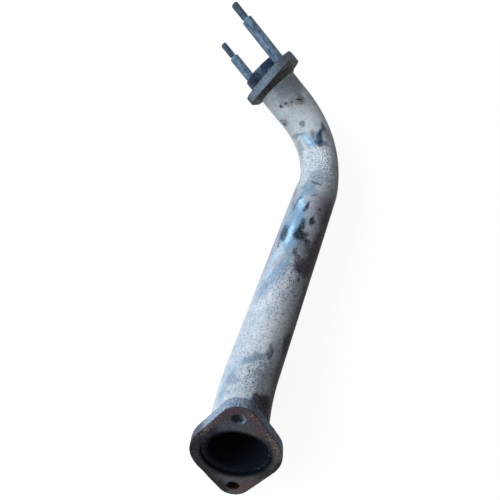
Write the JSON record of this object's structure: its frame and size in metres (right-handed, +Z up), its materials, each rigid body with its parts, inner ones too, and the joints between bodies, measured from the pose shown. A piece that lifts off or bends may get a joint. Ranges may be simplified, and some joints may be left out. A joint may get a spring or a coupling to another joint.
{
  "type": "exhaust pipe",
  "caption": "Bent steel exhaust front pipe with a diamond flange at each end, shoulder studs and a ring gasket.",
  "frame": {"origin": "on the floor, under the middle of the pipe's bounding box, with the pipe lying as it comes to rest", "axes": "+Y along the long straight run, from the lower flange to the upper bend; +Z up"},
  "size_m": [0.225, 0.4658, 0.1182],
  "materials": {
    "aluminised_steel": "weathered aluminised steel with stains",
    "flange_steel": "dark scale with rust",
    "weld_metal": "burnt weld bead",
    "gasket_ring": "dark sintered ring",
    "stud_steel": "dull grey steel"
  },
  "bodies": {
    "root": {"pipe": "aluminised_steel", "lower_flange": "flange_steel", "upper_flange": "flange_steel", "lower_weld_bead": "weld_metal", "lower_seal_bead": "weld_metal", "upper_weld_bead": "weld_metal", "ring_gasket": "gasket_ring", "stud_near": "stud_steel", "stud_far": "stud_steel"}
  },
  "joints": []
}
